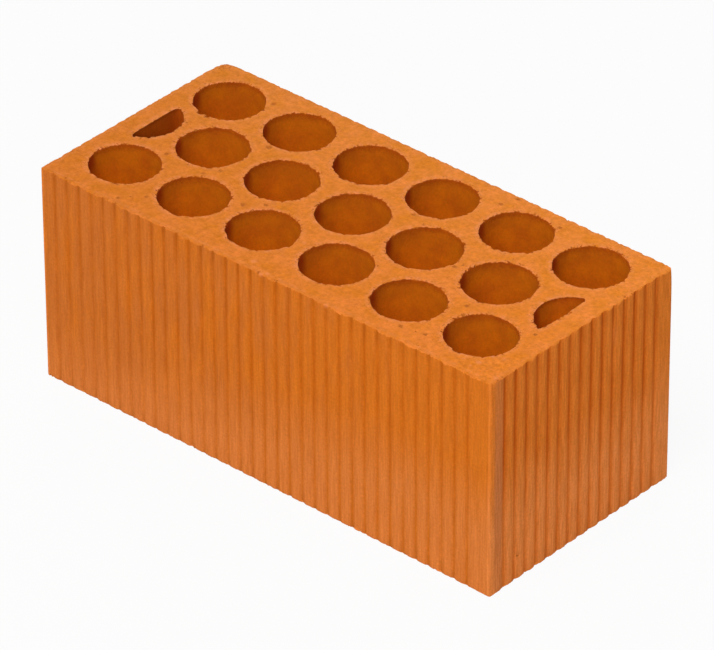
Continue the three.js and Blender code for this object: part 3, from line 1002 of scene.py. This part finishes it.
def bed_colour(tree, colour, spot, core, rim, lee, grain):
    """The cut faces: blotched and grainy, with fresh pinker clay in spots round the rims."""
    x, y = (add(tree, SEPARATE, spot, out=axis) for axis in range(2))
    blotch = patches(tree, spot, BLOTCH_SIZE, BLOTCHES, detail=3)
    bed = add(tree, MIX, blotch, colour["bed"], colour["bed_pink"], data_type="RGBA")
    rough = add(tree, VECTOR_MATH, spot, ROUGH_PATCH, operation="DISTANCE")
    rough = add(tree, MAP_RANGE, rough, *ROUGH_PATCH_EDGE)
    coarse = add(tree, MATH, rough, ROUGH_GAIN, GRAIN_GAIN, operation="MULTIPLY_ADD")
    grains = swing(tree, grain, coarse, 0.5, middle=GRAIN_MIDDLE)
    bed = tinted(tree, bed, grains, *GRAIN_TINTS)
    shade = add(tree, MATH, patches(tree, spot, PATCH_SIZE, PATCHES, roughness=0.5),
                add(tree, MAP_RANGE, x, *PALER_ALONG), operation="MULTIPLY")
    bed = add(tree, VECTOR_MATH, bed, shade, operation="SCALE")
    bed = tinted(tree, bed, add(tree, MAP_RANGE, y, *YELLOWER_ACROSS), *YELLOWER_TINTS)
    fresh = patches(tree, spot, FRESH_SIZE, FRESH)
    for value, ramp in ((lee, FRESH_BY_LEE), (core, FRESH_BY_CORE)):
        fresh = add(tree, MATH, fresh, add(tree, MAP_RANGE, value, *ramp), operation="MULTIPLY")
    fresh = add(tree, MATH, add(tree, MAP_RANGE, rim, *CRUMBLED_EDGE), fresh,
                operation="MULTIPLY")
    return add(tree, MIX, fresh, bed, colour["crumb"], data_type="RGBA")


def clay_material(looks):
    """Unglazed fired clay: dull and open, with no gloss.

    The wire-cut faces are torn and granular, yellower than the skin, which the die drags smooth
    in fine upright lines. The comb's lands are rubbed and dusty, most of all on the end faces,
    and its grooves keep a deeper orange, partly painted shade. The walls of the holes carry
    painted shade and painted light. Crumbled rims show fresher, pinker clay.
    """
    material = bpy.data.materials.new("Unglazed fired clay")
    tree = emptied_tree(material)
    colour = {name: (*value, 1) for name, value in looks.items()}
    spot = add(tree, "ShaderNodeTexCoord", out=3)
    groove, core, rim, mark, broken, lee = (
        add(tree, "ShaderNodeAttribute", attribute_name=name, out=2)
        for name in ("groove", "core", "rim", "mark", "broken", "lee"))
    streak = add(tree, NOISE, drawn_out(tree, spot, DRAG_LINE_STRETCH), 1 / DRAG_LINE, 2, 0.6)
    grain = add(tree, NOISE, spot, 1 / TORN_GRAIN, 3, 0.7)
    speckle = add(tree, NOISE, spot, 1 / SPECKLE, 3, 0.7)
    speckles = add(tree, MAP_RANGE, speckle, *SPECKLES)

    cut = cut_share(tree, spot, core)
    skin = skin_colour(tree, colour, spot, groove, rim, streak, speckles)
    inside = core_colour(tree, colour, spot, rim, lee, speckle, speckles)
    bed = bed_colour(tree, colour, spot, core, rim, lee, grain)
    clay = add(tree, MIX, core, skin, inside, data_type="RGBA")
    clay = add(tree, MIX, cut, clay, bed, data_type="RGBA")
    clay = add(tree, MIX, broken, clay, colour["pit"], data_type="RGBA")
    for finish, amount in (("pit", PIT_TINT), ("crumb", CRUMB_TINT)):
        share = add(tree, MATH, mark, amount, operation="MULTIPLY", use_clamp=True)
        clay = add(tree, MIX, share, clay, colour[finish], data_type="RGBA")
    bump = add(tree, "ShaderNodeBump", named={
        "Strength": 0.5, "Distance": 0.2 * MM, "Height": add(tree, MIX, cut, streak, grain)})
    surface = add(tree, "ShaderNodeBsdfPrincipled", named={
        "Base Color": clay, "Roughness": 0.93, "IOR": 1.5, "Diffuse Roughness": 0.6,
        "Specular IOR Level": 0.1, "Normal": bump})
    close_shader(tree, "ShaderNodeOutputMaterial", surface)
    return material


# --- pieces and stage ------------------------------------------------------------------------

FLOOR_REACH = 6.0
FARTHEST_SEEN = 20.0
LAMP_DISTANCE = 3.6
# Bearing and height of each lamp in degrees, and its size in metres.
LAMPS = (("key", 12, 61, 1.6), ("fill", 45, 25, 2.1), ("back", 225, 12, 2.1))
PAPER = (0.8, 0.8, 0.8, 1)
PAPER_WHITENESS = 0.93          # how much of the paper shows as plain white to the camera


def facing(azimuth, elevation):
    """Turn of a lamp or camera that looks at the origin from this bearing and height."""
    return (Matrix.Rotation(azimuth, 3, "Z")
            @ Matrix.Rotation(math.pi / 2 - elevation, 3, "X"))


def paper_material():
    """A white paper sweep: matt paper, near enough plain white to the camera to hide its edge."""
    material = bpy.data.materials.new("White paper sweep")
    tree = emptied_tree(material)
    paper = add(tree, "ShaderNodeBsdfDiffuse", PAPER)
    white = add(tree, "ShaderNodeEmission", WHITE, 1.0)
    seen = add(tree, MATH, add(tree, "ShaderNodeLightPath"), PAPER_WHITENESS,
               operation="MULTIPLY")
    close_shader(tree, "ShaderNodeOutputMaterial",
                 add(tree, "ShaderNodeMixShader", seen, paper, white))
    return material


def drop_folds(mesh):
    """Remove the pairs of faces that lie back to back on the same three points."""
    work = bmesh.new()
    work.from_mesh(mesh)
    on_points = {}
    for face in work.faces:
        on_points.setdefault(frozenset(face.verts), []).append(face)
    folds = [face for faces in on_points.values() if len(faces) == 2 for face in faces]
    bmesh.ops.delete(work, geom=folds, context="FACES")
    work.to_mesh(mesh)
    work.free()


def hole_and_mark_points(radius):
    """A mesh of points alone: the centres of the round holes, and then the marks."""
    holes = round_holes(radius)
    points = bpy.data.meshes.new("hole_centres_and_marks")
    points.from_pydata([(*centre, 0) for centre, stretch in holes]
                       + [Vector(mark[:3]) * MM for mark in MARKS], [], [])
    stretches = [(*stretch, 1) for centre, stretch in holes] + [(1, 1, 1)] * len(MARKS)
    points.attributes.new("stretch", "FLOAT_VECTOR", "POINT").data.foreach_set(
        "vector", [value for stretch in stretches for value in stretch])
    for name, column, unit in (("mark_size", 3, MM), ("mark_depth", 4, MM), ("mark_tone", 5, 1)):
        values = [0.0] * len(holes) + [mark[column] * unit for mark in MARKS]
        points.attributes.new(name, "FLOAT", "POINT").data.foreach_set("value", values)
    return points


class BRICK_OT_build(bpy.types.Operator):
    """Build the brick and set it in the frame in place of its CAD solid"""

    bl_idname = "brick.build"
    bl_label = "Build brick"

    def execute(self, context):
        sizes, colours = context.scene.brick_sizes, context.scene.brick_colours
        points = hole_and_mark_points(sizes.hole_radius)
        piece = bpy.data.objects.new("clay_brick", points)
        context.scene.collection.objects.link(piece)
        modifier = piece.modifiers.new("Brick", "NODES")
        fields = [sizes.bl_rna.properties[key] for key in BrickSizes.__annotations__]
        modifier.node_group = brick_tree(fields)
        values = {field.name: getattr(sizes, field.identifier) for field in fields}
        values["Material"] = clay_material({
            key: tuple(getattr(colours, key)) for key in BrickColours.__annotations__})
        for socket in modifier.node_group.interface.items_tree:
            if socket.in_out == "INPUT" and socket.name != "Points":
                modifier[socket.identifier] = values[socket.name]
        evaluated = piece.evaluated_get(context.evaluated_depsgraph_get())
        mesh = bpy.data.meshes.new_from_object(evaluated)
        if not mesh.polygons:
            raise RuntimeError("the brick came out empty")
        drop_folds(mesh)
        piece.modifiers.clear()
        piece.data = mesh
        bpy.data.meshes.remove(points)
        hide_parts(NODE)
        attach(piece, BODY)
        return {"FINISHED"}


class BRICK_OT_stage(bpy.types.Operator):
    """Set the floor, the lamps, the white surroundings and the camera"""

    bl_idname = "brick.stage"
    bl_label = "Set stage"

    def execute(self, context):
        scene, settings = context.scene, context.scene.brick_stage
        mesh = bpy.data.meshes.new("floor")
        mesh.from_pydata([(x * FLOOR_REACH, y * FLOOR_REACH, 0) for x, y in
                          ((-1, -1), (1, -1), (1, 1), (-1, 1))], [], [(0, 1, 2, 3)])
        floor = bpy.data.objects.new("floor", mesh)
        scene.collection.objects.link(floor)
        mesh.materials.append(paper_material())

        for name, azimuth, elevation, size in LAMPS:
            lamp = bpy.data.lights.new(name, "AREA")
            lamp.size = size
            lamp.energy = getattr(settings, name) * math.pi ** 2 * LAMP_DISTANCE ** 2
            holder = bpy.data.objects.new(name, lamp)
            turn = facing(math.radians(azimuth), math.radians(elevation))
            holder.rotation_euler = turn.to_euler()
            holder.location = turn.col[2] * LAMP_DISTANCE
            scene.collection.objects.link(holder)

        scene.world = bpy.data.worlds.new("White surroundings")
        tree = emptied_tree(scene.world)
        rays = add(tree, "ShaderNodeLightPath")
        glimpse = add(tree, MATH, rays, rays.node.outputs["Is Glossy Ray"], operation="MAXIMUM")
        glimpse = add(tree, MATH, glimpse, rays.node.outputs["Is Transmission Ray"],
                      operation="MAXIMUM")
        strength = add(tree, MIX, glimpse, settings.sky, 1.0)
        close_shader(tree, "ShaderNodeOutputWorld",
                     add(tree, "ShaderNodeBackground", WHITE, strength))

        camera = bpy.data.objects.new("camera", bpy.data.cameras.new("camera"))
        camera.data.lens = settings.lens
        camera.data.sensor_width = SENSOR_WIDTH
        camera.data.clip_end = FARTHEST_SEEN
        turn = (facing(settings.azimuth, settings.elevation)
                @ Matrix.Rotation(settings.roll, 3, "Z"))
        camera.rotation_euler = turn.to_euler()
        camera.location = Vector(settings.aim) + turn.col[2] * settings.distance
        scene.collection.objects.link(camera)
        scene.camera = camera
        scene.view_settings.view_transform = "Standard"
        return {"FINISHED"}


class BRICK_PT_panel(bpy.types.Panel):
    """Sizes, colours and operators of the brick"""

    bl_idname = "BRICK_PT_panel"
    bl_label = "Brick"
    bl_space_type = "VIEW_3D"
    bl_region_type = "UI"
    bl_category = "Brick"

    def draw(self, context):
        groups = ((context.scene.brick_sizes, BRICK_OT_build),
                  (context.scene.brick_colours, None), (context.scene.brick_stage, BRICK_OT_stage))
        for settings, operator in groups:
            box = self.layout.box()
            for key in type(settings).__annotations__:
                box.prop(settings, key)
            if operator:
                box.operator(operator.bl_idname)


CLASSES = (BrickSizes, BrickColours, StageSettings, BRICK_OT_build, BRICK_OT_stage, BRICK_PT_panel)


def register():
    for cls in CLASSES:
        bpy.utils.register_class(cls)
    bpy.types.Scene.brick_sizes = bpy.props.PointerProperty(type=BrickSizes)
    bpy.types.Scene.brick_colours = bpy.props.PointerProperty(type=BrickColours)
    bpy.types.Scene.brick_stage = bpy.props.PointerProperty(type=StageSettings)


def unregister():
    del bpy.types.Scene.brick_stage
    del bpy.types.Scene.brick_colours
    del bpy.types.Scene.brick_sizes
    for cls in reversed(CLASSES):
        bpy.utils.unregister_class(cls)


def main():
    register()
    bpy.ops.brick.build()
    bpy.ops.brick.stage()


if __name__ == "__main__":
    main()
